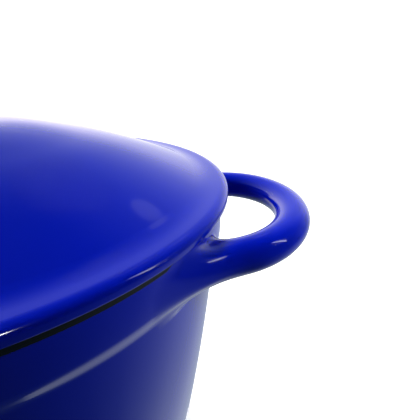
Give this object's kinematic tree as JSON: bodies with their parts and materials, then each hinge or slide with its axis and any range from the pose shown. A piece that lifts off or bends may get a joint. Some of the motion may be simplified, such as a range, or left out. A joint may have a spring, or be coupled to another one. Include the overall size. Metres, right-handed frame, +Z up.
{
  "type": "covered casserole dish",
  "caption": "Round deep enamelled cast iron casserole with looped side handles, a domed lift-off lid and a screwed-on round knob.",
  "frame": {"origin": "centre of the foot, on the surface that the pot stands on", "axes": "+Z up along the pot's axis, X through the two loop handles, Y across them"},
  "size_m": [0.347, 0.26, 0.2171],
  "materials": {
    "blue_enamelled_iron": "fired glossy cobalt blue vitreous enamel",
    "lining_enamel": "glossy cream vitreous enamel",
    "black_enamel": "matte black ground-coat enamel",
    "stainless_steel": "turned and brushed stainless steel",
    "gasket_rubber": "black silicone rubber",
    "insert_brass": "turned brass",
    "black_phenolic": "compression moulded black phenolic"
  },
  "bodies": {
    "pot": {"pot_casting": "blue_enamelled_iron", "pot_interior_enamel": "lining_enamel", "pot_rim_enamel": "black_enamel"},
    "lid": {"lid_casting": "blue_enamelled_iron", "lid_interior_enamel": "lining_enamel", "lid_rim_enamel": "black_enamel", "ferrule_gasket": "gasket_rubber", "knob_screw": "stainless_steel", "lock_washer": "stainless_steel", "screw_washer": "stainless_steel"},
    "ferrule": {"knob_ferrule": "stainless_steel"},
    "knob": {"lid_knob": "black_phenolic", "knob_insert": "insert_brass"}
  },
  "joints": [
    {"name": "lid_lift", "type": "slide", "parent": "pot", "child": "lid", "axis": [0, 0, 1], "range_m": [0, 0.12]},
    {"name": "knob_turn", "type": "hinge", "parent": "lid", "child": "ferrule", "pos_m": [0, 0, 0.185], "axis": [0, 0, 1], "range_deg": [0, 4680]},
    {"name": "knob_rise", "type": "slide", "parent": "ferrule", "child": "knob", "axis": [0, 0, 1], "range_m": [0, 0.013]}
  ],
  "couplings": [
    {"joint": "knob_rise", "follows": "knob_turn", "m_per_rad": 0.00015915}
  ]
}
